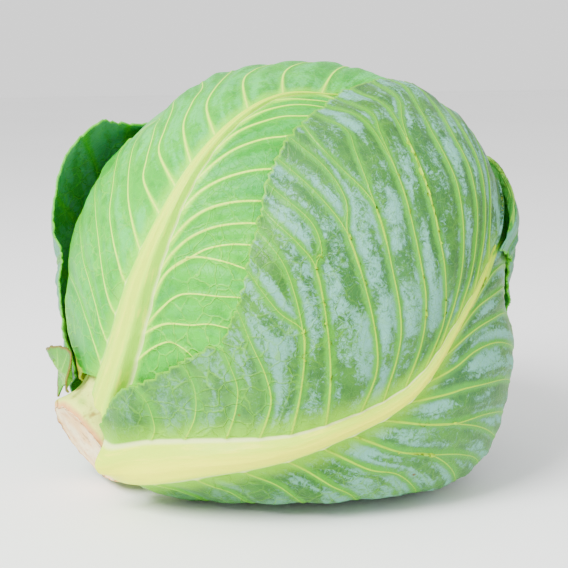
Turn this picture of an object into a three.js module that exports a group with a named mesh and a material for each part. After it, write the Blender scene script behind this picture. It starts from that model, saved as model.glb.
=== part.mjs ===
import * as THREE from "three";

// A round head of white cabbage, as cut and lying on its side. Its dense heart is wrapped in five
// large outer leaves, and the cut stump shows at one end, beside the base of a leaf that was cut away.
// Millimetres, +Z up. +X runs level from the stump end to the crown end, and the leaf whose edge
// crosses the middle faces -Y. The origin is at the table, under the middle of the head's outer box.

// The form under the outer leaves: how far it reaches from its middle, and how square it is.
const MIDDLE_HEIGHT = 70.5;
const REACH_TO_STUMP = 87;
const REACH_TO_CROWN = 75;
const REACH_TO_SIDE = 80;
const REACH_UP = 83;
const REACH_DOWN = 108;
const SQUARENESS = 2.2;
const BELLY_DEPTH = 70;
const BELLY_RADIUS_ALONG = 800;
const BELLY_RADIUS_ACROSS = 330;
const BELLY_SHARPNESS = 13;
// The belly is flatter along this level direction, and lowest a little way towards the stump.
const BELLY_TURN = THREE.MathUtils.degToRad(-23);
const BELLY_ALONG = new THREE.Vector3(Math.cos(BELLY_TURN), Math.sin(BELLY_TURN), 0);
const BELLY_SHIFT = 6;

// The head's own axis, from the crown to the stump, dips below level.
const AXIS_DIP = THREE.MathUtils.degToRad(30);

// The way that one leaf lies on the next. Past a leaf's margin the next one comes down to the head
// over a soft shoulder, which narrows near the stump, where all the leaves crowd together.
const BLADE_THICKNESS = 1;
const LAYER_PITCH = 3.1;
const SHOULDER_FROM = 6;
const SHOULDER_TO = 34;
const SHOULDER_GROWTH = 1.4;
const SHOULDER_NARROWEST = 0.3;

// Ribs and side veins. A rib tapers to its tip, and past a share of its length the side veins lean
// over into the tip. A side vein leaves the rib forwards and curves out to the margin.
const RIB_TIP_HALF_WIDTH = 0.9;
const RIB_TIP_HEIGHT = 0.5;
const RIB_WIDTH_TAPER = 0.75;
const RIB_HEIGHT_TAPER = 0.8;
const VEINS_PER_SIDE = 13;
const VEIN_HEIGHT = 0.6;
const VEIN_FADE = 0.5;
const VEIN_LEAVES_AT = THREE.MathUtils.degToRad(42);
const VEIN_CURVE = 0.3;
const VEIN_SWEEP = 1.3;
const TIP_VEINS_FROM = 0.82;

// The margin: a tooth at the end of each side vein, a notch between, and a light wave off the head.
const TOOTH_DEPTH = 1;
const NOTCH_DEPTH = 0.6;
const EDGE_LIFT = 0.8;
const NOTCH_LIFT = 0.16;

// A flare rounds off along the margin and curls up steeply towards it. A leaning base fans out.
const FLARE_ROUNDING = 1.3;
const FLARE_CURL = 1.6;
const LEAN_FAN = 0.4;

// The heart lies under the leaves, with four folds that wind round it.
const HEART_GAP = 2.8;
const HEART_ROWS = 22;
const HEART_TURNS = 30;
const FOLD_STEP = 1.6;
const FOLD_TURN = 90;
const FOLD_TWIST = 0.9;
const HEART_FLAT_UNTIL = 0.2;

// The stump: a short stalk, scarred down its side and cut a little askew.
const STUMP_RADIUS = 19;
const STUMP_INNER_END = 90.2;
const STUMP_INNER_CHAMFER = 2.5;
const STUMP_NECK = 3;
const STUMP_NECK_INSET = 0.4;
const STUMP_CUT_AT = 104;
const STUMP_CUT_SKEW = THREE.MathUtils.degToRad(-9);
const STUMP_RIM = 1.2;
const STUMP_DISH = 0.6;
const STUMP_SCAR = 0.05;
const STUMP_SIDES = 28;
const STUMP_GAP = 0.8;
const HEART_TO_STUMP = 0.7;
const FOOT_SOFTNESS = THREE.MathUtils.degToRad(1.2);

// The grid of each leaf: two rows for each side vein, and columns from the rib to the margin.
const ROWS = 2 * VEINS_PER_SIDE + 2;
const RIB_COLUMNS = [0, 0.62, 1];
const BLADE_COLUMNS = [0.1, 0.21, 0.33, 0.46, 0.6, 0.74, 0.88, 1];

// Turns arc on the head into millimetres.
const MEAN_RADIUS = 84;

const { clamp, degToRad, smoothstep } = THREE.MathUtils;

// Directions from the head's middle: an angle from the stump and a turn round the axis, which is
// 0 at the top, 90 at the front (-Y), 180 below and 270 behind.
const TO_STUMP = new THREE.Vector3(-Math.cos(AXIS_DIP), 0, -Math.sin(AXIS_DIP));
const TO_TOP = new THREE.Vector3(-Math.sin(AXIS_DIP), 0, Math.cos(AXIS_DIP));
const TO_FRONT = new THREE.Vector3(0, -1, 0);

function direction([fromStump, turn]) {
  const a = degToRad(fromStump);
  const t = degToRad(turn);
  return TO_STUMP.clone()
    .multiplyScalar(Math.cos(a))
    .addScaledVector(TO_TOP, Math.sin(a) * Math.cos(t))
    .addScaledVector(TO_FRONT, Math.sin(a) * Math.sin(t));
}

// Low swells and dips of the whole head: [angle from the stump, turn], width in degrees, height.
const SWELLS = [
  { at: [128, 58], width: 24, height: 4.0 },
  { at: [116, 116], width: 20, height: 0.8 },
  { at: [118, 32], width: 17, height: -8.0 },
  { at: [28, 152], width: 24, height: 7.0 },
  { at: [17, 158], width: 15, height: 4.5 },
  { at: [90, 142], width: 18, height: 1.6 },
  { at: [74, -2], width: 20, height: -1.2 },
];

// Swells at the edge of the flattened belly: a heel beside the stump, and one under the front rib.
const BELLY_SWELLS = [
  { at: [19, 132], width: 13, height: 3.8 },
  { at: [80, 139], width: 15, height: 1.2 },
];

function swellHeight(swells, dir) {
  return swells.reduce((sum, { at, width, height }) => {
    const away = direction(at).angleTo(dir) / degToRad(width);
    return sum + height * Math.exp(-away * away);
  }, 0);
}

// Radius of the form under the outer leaves, along a direction.
function formRadius(dir) {
  const x = dir.x / (dir.x < 0 ? REACH_TO_STUMP : REACH_TO_CROWN);
  const y = dir.y / REACH_TO_SIDE;
  const z = dir.z / (dir.z < 0 ? REACH_DOWN : REACH_UP);
  const sum = [x, y, z].reduce((s, v) => s + Math.abs(v) ** SQUARENESS, 0);
  const radius = sum ** (-1 / SQUARENESS) + swellHeight(SWELLS, dir);
  // The belly is a shallow bowl, met by the ray from the middle along this direction.
  const along = dir.dot(BELLY_ALONG);
  const across = Math.hypot(dir.x, dir.y) ** 2 - along ** 2;
  const rise = dir.z - (BELLY_SHIFT * along) / BELLY_RADIUS_ALONG;
  const depth = BELLY_DEPTH - BELLY_SHIFT ** 2 / (2 * BELLY_RADIUS_ALONG);
  const curve = along ** 2 / BELLY_RADIUS_ALONG + across / BELLY_RADIUS_ACROSS;
  const reach = Math.sqrt(rise * rise + 2 * depth * curve);
  const belly = (2 * depth) / (reach - rise);
  const flattened = (radius ** -BELLY_SHARPNESS + belly ** -BELLY_SHARPNESS) ** (-1 / BELLY_SHARPNESS);
  return flattened + swellHeight(BELLY_SWELLS, dir);
}

// The leaves from the innermost to the outermost. Points are [angle from the stump, turn]. The rib
// runs from the stump outwards; each margin runs from the leaf's foot to its tip.
const LEAVES = [
  {
    name: "inner_leaf",
    colour: "#a9d18a",
    centre: [85, 318],
    floor: 5,
    rib: [[14, 318], [50, 320], [90, 322], [126, 325]],
    tip: [148, 325],
    low: [[14, 270], [35, 252], [60, 243], [90, 238], [118, 244], [138, 272]],
    high: [[14, 366], [35, 382], [60, 390], [90, 396], [118, 396], [140, 372]],
    ribWidth: 16,
    ribHeight: 2.4,
  },
  {
    name: "top_leaf",
    colour: "#a6d487",
    centre: [75, 32],
    floor: 5,
    rib: [[14, 49], [32, 43], [56, 36], [82, 28], [104, 24], [124, 27]],
    tip: [143, 30],
    sweep: 1.6,
    low: [
      [14, 2], [24, -20], [40, -24], [58, -17], [70, -12], [77, -3], [90, -10], [108, -20], [130, -18],
    ],
    high: [[14, 90], [32, 94], [56, 92], [82, 86], [106, 78], [130, 62]],
    ribWidth: 20,
    ribHeight: 5.0,
  },
  {
    name: "under_leaf",
    colour: "#6f9c6c",
    centre: [80, 205],
    floor: 0,
    rib: [[14, 214], [50, 213], [90, 210], [124, 206]],
    tip: [146, 204],
    low: [[14, 166], [30, 142], [60, 124], [90, 119], [115, 126], [136, 150]],
    high: [[14, 258], [34, 274], [60, 284], [90, 287], [116, 280], [138, 258]],
    ribWidth: 16,
    ribHeight: 2.4,
  },
  {
    name: "front_leaf",
    colour: "#7fae80",
    centre: [84, 96],
    floor: 0.8,
    rib: [[14, 97], [36, 97], [60, 103], [84, 105], [107, 97], [134, 86]],
    tip: [152, 66],
    low: [
      [14.5, 64], [26, 59], [42, 65], [54, 66], [68, 56], [84, 43], [103, 35], [122, 25], [141, 24],
    ],
    high: [
      [14, 136], [30, 140], [41, 137], [52, 134], [62, 135], [75, 140], [90, 145], [100, 145],
      [109, 140], [118, 129], [127, 108], [136, 93],
    ],
    ribWidth: 19,
    ribHeight: 5.0,
  },
  {
    name: "back_leaf",
    colour: "#3f8b4a",
    centre: [112, 278],
    floor: 0.8,
    rib: [[14, 272], [50, 275], [90, 279], [128, 288], [158, 310]],
    tip: [124, 92],
    low: [
      [14, 232], [30, 229], [45, 227], [60, 226], [75, 221], [90, 214], [110, 198], [126, 176],
      [137, 150], [136, 118],
    ],
    high: [
      [14, 322], [27, 329], [45, 338], [58, 345], [70, 349], [77, 337], [96, 324], [116, 320],
      [138, 326], [162, 345], [160, 50], [147, 82],
    ],
    ribWidth: 17,
    ribHeight: 3,
    ease: 0.5,
    flare: { from: 0.12, to: 0.335, lift: 10 },
  },
  {
    name: "cut_leaf_base",
    colour: "#7a9a45",
    centre: [19, 336],
    floor: 8,
    rib: [[12.5, 340], [15, 340], [18, 340]],
    tip: [21, 340],
    low: [[12.5, 310], [16, 314], [20, 324]],
    high: [[12.5, 374], [16.5, 368], [20, 357]],
    ribWidth: 12,
    ribHeight: 1.4,
    bladeColumns: [0.4, 0.75, 1],
    rows: 8,
    leanOut: 2,
  },
];

// Where a direction falls in a leaf's own plane, which is laid on the head at the leaf's centre:
// x points from the stump to the crown, and y along the turn. Radians of arc.
class LeafPlane {
  constructor(centre) {
    this.out = direction(centre);
    this.along = direction([centre[0] + 90, centre[1]]);
    this.across = new THREE.Vector3().crossVectors(this.along, this.out);
  }

  point(dir) {
    const arc = Math.acos(clamp(dir.dot(this.out), -1, 1));
    const v = new THREE.Vector2(dir.dot(this.along), dir.dot(this.across));
    return v.length() < 1e-9 ? v : v.setLength(arc);
  }

  direction(point) {
    const arc = point.length();
    if (arc < 1e-9) return this.out.clone();
    return this.out
      .clone()
      .multiplyScalar(Math.cos(arc))
      .addScaledVector(this.along, (Math.sin(arc) * point.x) / arc)
      .addScaledVector(this.across, (Math.sin(arc) * point.y) / arc);
  }
}

// The rib's half width and height at a share s of its length: broad at the foot, fine at the tip.
const ribHalfWidth = (leaf, s) => (leaf.ribWidth / 2) * (1 - s) ** RIB_WIDTH_TAPER + RIB_TIP_HALF_WIDTH;
const ribHeight = (leaf, s) => leaf.ribHeight * (1 - s) ** RIB_HEIGHT_TAPER + RIB_TIP_HEIGHT;

// The share of the margin that the side vein leaving the rib at s runs to.
const marginShare = (leaf, s) => 1 - (1 - s) ** (leaf.sweep ?? VEIN_SWEEP);

function prepare(leaf) {
  const plane = new LeafPlane(leaf.centre);
  const flat = (list) => list.map((p) => plane.point(direction(p)));
  const rib = new THREE.SplineCurve(flat(leaf.rib));
  const margins = {
    low: new THREE.SplineCurve(flat([...leaf.low, leaf.tip])),
    high: new THREE.SplineCurve(flat([...leaf.high, leaf.tip])),
  };
  const outline = [
    ...margins.low.getSpacedPoints(90),
    ...margins.high.getSpacedPoints(90).reverse(),
  ];
  return { ...leaf, plane, rib, margins, outline, ribLine: rib.getSpacedPoints(60) };
}

// Signed distance in mm from a direction to a leaf's outline on the head: negative inside.
function distanceToOutline(leaf, dir) {
  const p = leaf.plane.point(dir);
  let inside = false;
  let nearest = Infinity;
  const n = leaf.outline.length;
  for (let i = 0, j = n - 1; i < n; j = i++) {
    const a = leaf.outline[i];
    const b = leaf.outline[j];
    if (a.y > p.y !== b.y > p.y && p.x < ((b.x - a.x) * (p.y - a.y)) / (b.y - a.y) + a.x)
      inside = !inside;
    nearest = Math.min(nearest, leaf.plane.direction(a).angleTo(dir));
  }
  return (inside ? -1 : 1) * nearest * MEAN_RADIUS;
}

// How much room a leaf takes up along a direction, with a soft shoulder past its margin.
function roomFor(leaf, dir) {
  const outside = distanceToOutline(leaf, dir);
  const spread = clamp(SHOULDER_GROWTH * Math.sin(dir.angleTo(TO_STUMP)), SHOULDER_NARROWEST, 1);
  if (outside > SHOULDER_TO * spread) return 0;
  const shoulder = (side) => 1 - smoothstep(side / spread, SHOULDER_FROM, SHOULDER_TO);
  let ribRoom = 0;
  leaf.ribLine.forEach((p, i) => {
    const s = i / (leaf.ribLine.length - 1);
    const away = leaf.plane.direction(p).angleTo(dir) * MEAN_RADIUS;
    ribRoom = Math.max(ribRoom, ribHeight(leaf, s) * shoulder(away - ribHalfWidth(leaf, s)));
  });
  return shoulder(outside) * (LAYER_PITCH + ribRoom);
}

// One side of the leaf at row s: points from the rib to the margin, in the leaf's plane.
function rowPoints(leaf, side, s, tooth) {
  const turnSign = side === "high" ? 1 : -1;
  const start = leaf.rib.getPointAt(s);
  const along = leaf.rib.getTangentAt(s);
  const across = new THREE.Vector2(-along.y, along.x).multiplyScalar(turnSign);
  const end = leaf.margins[side].getPointAt(marginShare(leaf, s));
  const lean = (1 - smoothstep(s, TIP_VEINS_FROM, 1)) * (Math.PI / 2);
  const out = along.clone().multiplyScalar(Math.cos(lean)).addScaledVector(across, Math.sin(lean));
  const halfWidth = ribHalfWidth(leaf, s) / MEAN_RADIUS;
  const points = RIB_COLUMNS.map((c) => start.clone().addScaledVector(out, c * halfWidth));
  const foot = points[points.length - 1];
  const span = end.clone().sub(foot);
  const leave = Math.min(VEIN_LEAVES_AT, lean);
  const control = foot
    .clone()
    .addScaledVector(along, Math.cos(leave) * span.length() * VEIN_CURVE)
    .addScaledVector(across, Math.sin(leave) * span.length() * VEIN_CURVE);
  end.addScaledVector(span.normalize(), tooth / MEAN_RADIUS);
  const vein = new THREE.QuadraticBezierCurve(foot, control, end);
  for (const c of leaf.bladeColumns ?? BLADE_COLUMNS) points.push(vein.getPoint(c));
  return points;
}

// Keeps a direction clear of the stump, which the leaf's foot comes up against.
function clearOfStump(dir, radius) {
  const least = Math.asin((STUMP_RADIUS + STUMP_GAP) / radius);
  const angle = dir.angleTo(TO_STUMP);
  const over = angle - least;
  const wanted = least + (over + Math.hypot(over, FOOT_SOFTNESS)) / 2;
  const side = dir.clone().addScaledVector(TO_STUMP, -dir.dot(TO_STUMP)).normalize();
  return TO_STUMP.clone().multiplyScalar(Math.cos(wanted)).addScaledVector(side, Math.sin(wanted));
}

// How far a leaf stands off the head: a flare curls its free edge out, and a cut base leans out whole.
function standOff(leaf, side, s, share) {
  if (leaf.leanOut) return leaf.leanOut * (smoothstep(s, 0, 1) + LEAN_FAN * share);
  if (!leaf.flare || side === "low") return 0;
  const { from, to, lift } = leaf.flare;
  const along = clamp((s - from) / (to - from), 0, 1);
  const outwards = clamp(2 * share - 1, 0, 1);
  return lift * Math.sin(Math.PI * along) ** FLARE_ROUNDING * outwards ** FLARE_CURL;
}

// A closed solid from an outer and an inner sheet with the same grid, joined round the rim.
function sheetSolid(outer, inner, triangles, rim) {
  const n = outer.length;
  const position = new Float32Array([...outer, ...inner].flatMap((p) => [p.x, p.y, p.z]));
  const index = [];
  for (const [a, b, c] of triangles) {
    index.push(a, b, c);
    index.push(n + a, n + c, n + b);
  }
  for (const [a, b] of rim) {
    index.push(b, a, n + a);
    index.push(b, n + a, n + b);
  }
  const geometry = new THREE.BufferGeometry();
  geometry.setAttribute("position", new THREE.BufferAttribute(position, 3));
  geometry.setIndex(index);
  geometry.computeVertexNormals();
  return geometry;
}

function leafGeometry(leaf, below) {
  const rows = leaf.rows ?? ROWS;
  const last = RIB_COLUMNS.length + (leaf.bladeColumns ?? BLADE_COLUMNS).length - 1;
  const outer = [];
  const inner = [];
  const grid = { low: [], high: [] };
  for (const side of ["low", "high"]) {
    for (let row = 0; row <= rows; row++) {
      const s = row / rows;
      const onVein = row % 2 === 1;
      const tooth = onVein ? TOOTH_DEPTH : -NOTCH_DEPTH;
      const points = rowPoints(leaf, side, s, row === rows ? 0 : tooth);
      grid[side][row] = points.map((point, column) => {
        if (side === "high" && column === 0) return grid.low[row][0];
        if (side === "high" && row === rows) return grid.low[row][column];
        const share = column / last;
        const first = leaf.plane.direction(point);
        const dir = clearOfStump(first, formRadius(first));
        const stack = below.reduce((sum, other) => sum + roomFor(other, dir), 0);
        const atEdge = column === last;
        const wave = onVein ? EDGE_LIFT : NOTCH_LIFT;
        const lift = standOff(leaf, side, s, share) + (atEdge ? wave : 0);
        const ribShare = column < RIB_COLUMNS.length ? 1 - RIB_COLUMNS[column] ** 2 : 0;
        const onVeinRidge = onVein && !atEdge && column >= RIB_COLUMNS.length - 1;
        const ridge = onVeinRidge ? VEIN_HEIGHT * (1 - VEIN_FADE * share) : 0;
        const relief = ribHeight(leaf, s) * ribShare + ridge;
        const base = formRadius(dir) + stack + lift + (leaf.ease ?? 0);
        const place = (radius, floor) => {
          const p = dir.clone().multiplyScalar(radius);
          p.z = Math.max(p.z + MIDDLE_HEIGHT, floor);
          return p;
        };
        inner.push(place(base, leaf.floor + BLADE_THICKNESS));
        outer.push(place(base + BLADE_THICKNESS + relief, leaf.floor));
        return outer.length - 1;
      });
    }
  }
  const triangles = [];
  for (const side of ["low", "high"]) {
    for (let row = 0; row < rows; row++) {
      for (let column = 0; column < last; column++) {
        const a = grid[side][row][column];
        const b = grid[side][row][column + 1];
        const c = grid[side][row + 1][column + 1];
        const d = grid[side][row + 1][column];
        const short = inner[a].distanceTo(inner[c]) < inner[b].distanceTo(inner[d]);
        const pair = short ? [[a, b, c], [a, c, d]] : [[a, b, d], [b, c, d]];
        triangles.push(...pair.map(([i, j, k]) => (side === "low" ? [i, k, j] : [i, j, k])));
      }
    }
  }
  const rim = [];
  const loop = [
    ...grid.low[0].slice().reverse(),
    ...grid.high[0].slice(1),
    ...grid.high.slice(1).map((line) => line[last]),
    ...grid.low.slice(1, -1).map((line) => line[last]).reverse(),
  ];
  loop.forEach((a, i) => rim.push([a, loop[(i + 1) % loop.length]]));
  return sheetSolid(outer, inner, triangles, rim);
}

// The heart: the packed inner leaves, as one dense ball with the edges of its outer leaves in relief.
function heartGeometry() {
  const points = [];
  const index = [];
  const radiusAt = (angle, turn) => {
    const dir = direction([angle, turn]);
    const fold = ((turn + FOLD_TWIST * angle) % FOLD_TURN) / FOLD_TURN;
    const leaning = Math.max(Math.cos(degToRad(angle)), HEART_FLAT_UNTIL);
    const flat = (STUMP_INNER_END - HEART_TO_STUMP) / leaning;
    return dir.multiplyScalar(Math.min(formRadius(dir) - HEART_GAP - FOLD_STEP * fold, flat));
  };
  points.push(radiusAt(0, 0));
  for (let row = 1; row < HEART_ROWS; row++)
    for (let turn = 0; turn < HEART_TURNS; turn++)
      points.push(radiusAt((180 * row) / HEART_ROWS, (360 * turn) / HEART_TURNS));
  points.push(radiusAt(180, 0));
  const at = (row, turn) => 1 + (row - 1) * HEART_TURNS + (turn % HEART_TURNS);
  const bottom = points.length - 1;
  for (let turn = 0; turn < HEART_TURNS; turn++) {
    index.push(0, at(1, turn + 1), at(1, turn));
    index.push(bottom, at(HEART_ROWS - 1, turn), at(HEART_ROWS - 1, turn + 1));
    for (let row = 1; row < HEART_ROWS - 1; row++) {
      index.push(at(row, turn), at(row + 1, turn + 1), at(row + 1, turn));
      index.push(at(row, turn), at(row, turn + 1), at(row + 1, turn + 1));
    }
  }
  const position = new Float32Array(points.flatMap((p) => [p.x, p.y, p.z + MIDDLE_HEIGHT]));
  const geometry = new THREE.BufferGeometry();
  geometry.setAttribute("position", new THREE.BufferAttribute(position, 3));
  geometry.setIndex(index);
  geometry.computeVertexNormals();
  return geometry;
}

// The stump: turned up from the axis, with a skewed cut face that sinks a little in the middle.
function stumpGeometry() {
  const profile = [
    [0, STUMP_INNER_END],
    [STUMP_RADIUS - STUMP_INNER_CHAMFER, STUMP_INNER_END],
    [STUMP_RADIUS - STUMP_NECK_INSET, STUMP_INNER_END + STUMP_NECK],
    [STUMP_RADIUS, STUMP_CUT_AT - STUMP_RIM],
    [STUMP_RADIUS - STUMP_RIM, STUMP_CUT_AT],
    [STUMP_RADIUS / 2, STUMP_CUT_AT - STUMP_DISH / 2],
    [0, STUMP_CUT_AT - STUMP_DISH],
  ].map(([r, at]) => new THREE.Vector2(r, at));
  const geometry = new THREE.LatheGeometry(profile, STUMP_SIDES);
  const place = new THREE.Matrix4().makeBasis(TO_TOP, TO_STUMP, TO_FRONT);
  const position = geometry.getAttribute("position");
  const p = new THREE.Vector3();
  for (let i = 0; i < position.count; i++) {
    p.fromBufferAttribute(position, i);
    const turn = Math.atan2(p.z, p.x);
    const scarred = 1 - STUMP_SCAR * Math.max(0, Math.cos(3 * turn + 0.6)) ** 2;
    p.x *= scarred;
    p.z *= scarred;
    if (p.y > STUMP_INNER_END + STUMP_NECK) p.y += p.z * Math.tan(STUMP_CUT_SKEW);
    p.applyMatrix4(place);
    position.setXYZ(i, p.x, p.y, p.z + MIDDLE_HEIGHT);
  }
  geometry.deleteAttribute("normal");
  geometry.deleteAttribute("uv");
  return geometry;
}

function node(name, geometry, colour, roughness) {
  const material = new THREE.MeshStandardMaterial({ color: colour, roughness, metalness: 0 });
  const mesh = new THREE.Mesh(geometry, material);
  mesh.name = name;
  return mesh;
}

const cabbage = new THREE.Group();
cabbage.add(node("heart", heartGeometry(), "#c9e0a4", 0.55));
cabbage.add(node("stump", stumpGeometry(), "#efdcb9", 0.8));
const laid = [];
for (const leaf of LEAVES.map(prepare)) {
  cabbage.add(node(leaf.name, leafGeometry(leaf, laid), leaf.colour, 0.5));
  laid.push(leaf);
}

// The head is built round its middle, and then moved so that its outer box stands over the origin.
const box = new THREE.Box3().setFromObject(cabbage);
cabbage.position.set(-(box.min.x + box.max.x) / 2, -(box.min.y + box.max.y) / 2, 0);

export default cabbage;
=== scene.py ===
import math

import bpy
import numpy as np
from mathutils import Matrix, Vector, kdtree, noise


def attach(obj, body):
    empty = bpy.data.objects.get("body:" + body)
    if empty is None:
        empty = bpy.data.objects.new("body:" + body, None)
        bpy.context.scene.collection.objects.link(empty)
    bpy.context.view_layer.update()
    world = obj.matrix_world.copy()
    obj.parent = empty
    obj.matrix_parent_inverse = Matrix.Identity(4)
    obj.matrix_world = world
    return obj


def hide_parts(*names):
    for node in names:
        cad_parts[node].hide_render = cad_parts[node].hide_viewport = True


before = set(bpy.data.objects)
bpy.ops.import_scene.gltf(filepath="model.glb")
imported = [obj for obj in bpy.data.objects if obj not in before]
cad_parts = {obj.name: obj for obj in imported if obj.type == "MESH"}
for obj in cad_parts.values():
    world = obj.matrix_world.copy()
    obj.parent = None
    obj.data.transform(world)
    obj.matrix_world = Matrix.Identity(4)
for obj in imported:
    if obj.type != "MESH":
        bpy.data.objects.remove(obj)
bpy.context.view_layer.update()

# Heart
# The inner leaves of the head: dozens of crisp pale leaves folded over one another into a
# dense ball. They grew that way, each one's edge lying on the next, and show between the outer leaves.
# Sizes are millimetres from the middle of the head, until a mesh is placed in the frame.
MM = 0.001
MIDDLE = np.array([11.04, -2.34, 70.5])
HEAD_MIDDLE = Vector((MIDDLE * MM).tolist())
MEAN_RADIUS = 84
REACH_TO_STUMP, REACH_TO_CROWN, REACH_TO_SIDE = 87, 75, 80
REACH_UP, REACH_DOWN = 83, 108
SQUARENESS = 2.2
BELLY_DEPTH, BELLY_SHARPNESS, BELLY_SHIFT = 70, 13, 6
BELLY_RADIUS_ALONG, BELLY_RADIUS_ACROSS = 800, 330
BELLY_ALONG = np.array([math.cos(math.radians(23)), -math.sin(math.radians(23)), 0])
AXIS_DIP = math.radians(30)
TO_STUMP = np.array([-math.cos(AXIS_DIP), 0, -math.sin(AXIS_DIP)])
TO_TOP = np.array([-math.sin(AXIS_DIP), 0, math.cos(AXIS_DIP)])
TO_FRONT = np.array([0.0, -1.0, 0.0])
# Swells of the head: angle from the stump, turn round the axis, width in degrees, height.
SWELLS = [
    (128, 58, 24, 4.0),
    (116, 116, 20, 0.8),
    (118, 32, 17, -8.0),
    (28, 152, 24, 7.0),
    (17, 158, 15, 4.5),
    (90, 142, 18, 1.6),
    (74, -2, 20, -1.2),
]
BELLY_SWELLS = [(19, 132, 13, 3.8), (80, 139, 15, 1.2)]


def direction(from_stump, turn):
    """The way out from the middle at an angle from the stump, turned round the head's axis."""
    a = np.radians(np.asarray(from_stump, float))[..., None]
    t = np.radians(np.asarray(turn, float))[..., None]
    return np.cos(a) * TO_STUMP + np.sin(a) * (np.cos(t) * TO_TOP + np.sin(t) * TO_FRONT)


def swell_height(swells, dirs):
    total = 0
    for from_stump, turn, width, height in swells:
        away = np.arccos(np.clip(dirs @ direction(from_stump, turn), -1, 1)) / math.radians(width)
        total = total + height * np.exp(-away * away)
    return total


def form_radius(dirs):
    """Radius of the form under the outer leaves: rounded, swollen here and there, flat below."""
    x, y, z = dirs[..., 0], dirs[..., 1], dirs[..., 2]
    shares = (
        x / np.where(x < 0, REACH_TO_STUMP, REACH_TO_CROWN),
        y / REACH_TO_SIDE,
        z / np.where(z < 0, REACH_DOWN, REACH_UP),
    )
    radius = sum(np.abs(v) ** SQUARENESS for v in shares) ** (-1 / SQUARENESS)
    radius = radius + swell_height(SWELLS, dirs)
    along = dirs @ BELLY_ALONG
    across = x * x + y * y - along * along
    rise = z - BELLY_SHIFT * along / BELLY_RADIUS_ALONG
    depth = BELLY_DEPTH - BELLY_SHIFT**2 / (2 * BELLY_RADIUS_ALONG)
    curve = along * along / BELLY_RADIUS_ALONG + across / BELLY_RADIUS_ACROSS
    belly = 2 * depth / (np.sqrt(rise * rise + 2 * depth * curve) - rise)
    k = BELLY_SHARPNESS
    return (radius**-k + belly**-k) ** (-1 / k) + swell_height(BELLY_SWELLS, dirs)


def smooth(value, low, high):
    x = np.clip((value - low) / (high - low), 0, 1)
    return x * x * (3 - 2 * x)


def rumple(points, size, seed):
    """Even, smooth unevenness from -1 to 1, with swells about one size apart."""
    flat = points.reshape(-1, points.shape[-1]) / size
    places = np.zeros((len(flat), 3)) + seed * np.array([17.3, 5.1, 9.7])
    places[:, : flat.shape[1]] += flat
    values = [noise.noise(place) for place in places.tolist()]
    return np.array(values).reshape(points.shape[:-1])


def pick(piece):
    bpy.ops.object.select_all(action="DESELECT")
    bpy.context.view_layer.objects.active = piece
    piece.select_set(True)


def grid_piece(name, points, measures):
    """A flat grid, laid on the given points and welded, with what its material has to know."""
    rows, columns = points.shape[:2]
    bpy.ops.object.select_all(action="DESELECT")
    bpy.ops.mesh.primitive_grid_add(x_subdivisions=columns - 1, y_subdivisions=rows - 1, size=1)
    piece = bpy.context.object
    piece.name = name
    mesh = piece.data
    mesh.name = name
    place = (points.reshape(-1, 3) + MIDDLE) * MM
    mesh.vertices.foreach_set("co", place.ravel())
    for key, values in measures.items():
        layer = mesh.attributes.new(key, "FLOAT", "POINT")
        layer.data.foreach_set("value", np.ascontiguousarray(values, dtype=np.float32).ravel())
    bpy.ops.object.mode_set(mode="EDIT")
    bpy.ops.mesh.select_all(action="SELECT")
    bpy.ops.mesh.remove_doubles(threshold=0.00002)
    bpy.ops.mesh.dissolve_degenerate(threshold=0.000005)
    bpy.ops.mesh.normals_make_consistent(inside=False)
    bpy.ops.object.mode_set(mode="OBJECT")
    facing = sum(f.area * f.normal.dot(f.center - HEAD_MIDDLE) for f in mesh.polygons)
    if facing < 0:
        mesh.flip_normals()
    bpy.ops.object.shade_smooth()
    return piece


def tone(hexa):
    """A colour written as on a colour chart, such as a6d487, as the shader wants it."""
    parts = [int(hexa[i : i + 2], 16) / 255 for i in (0, 2, 4)]
    linear = [v / 12.92 if v <= 0.04045 else ((v + 0.055) / 1.055) ** 2.4 for v in parts]
    return (*linear, 1.0)


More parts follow.
